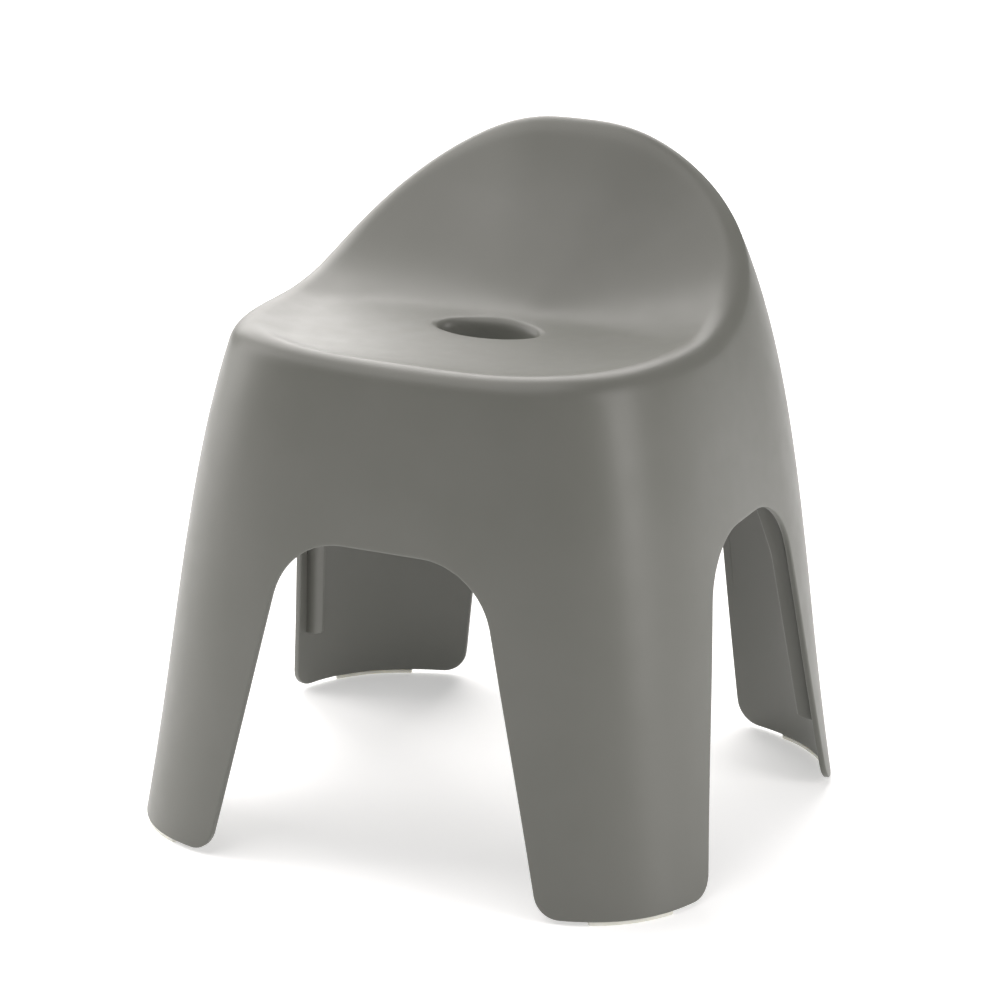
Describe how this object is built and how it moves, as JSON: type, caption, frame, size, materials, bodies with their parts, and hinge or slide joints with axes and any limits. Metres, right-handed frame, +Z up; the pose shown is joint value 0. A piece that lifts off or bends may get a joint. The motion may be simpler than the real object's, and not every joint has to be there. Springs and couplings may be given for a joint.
{
  "type": "shower stool",
  "caption": "Moulded plastic shower stool: bowl seat with hand hole, low wrap-round back, legs between arches, anti-slip foot pads.",
  "frame": {"origin": "on the floor, at the bottom centre of the bounding box", "axes": "+Z up; the front of the stool faces -Y and the back rises on +Y; left is -X, as seen from the front"},
  "size_m": [0.362, 0.3254, 0.3853],
  "materials": {
    "shell_plastic": "satin warm-grey moulded polypropylene, soft broad highlights",
    "pad_rubber": "translucent whitish soft elastomer"
  },
  "bodies": {
    "root": {"seat_shell": "shell_plastic", "front_left_foot_pad": "pad_rubber", "front_right_foot_pad": "pad_rubber", "rear_left_foot_pad": "pad_rubber", "rear_right_foot_pad": "pad_rubber"}
  },
  "joints": []
}
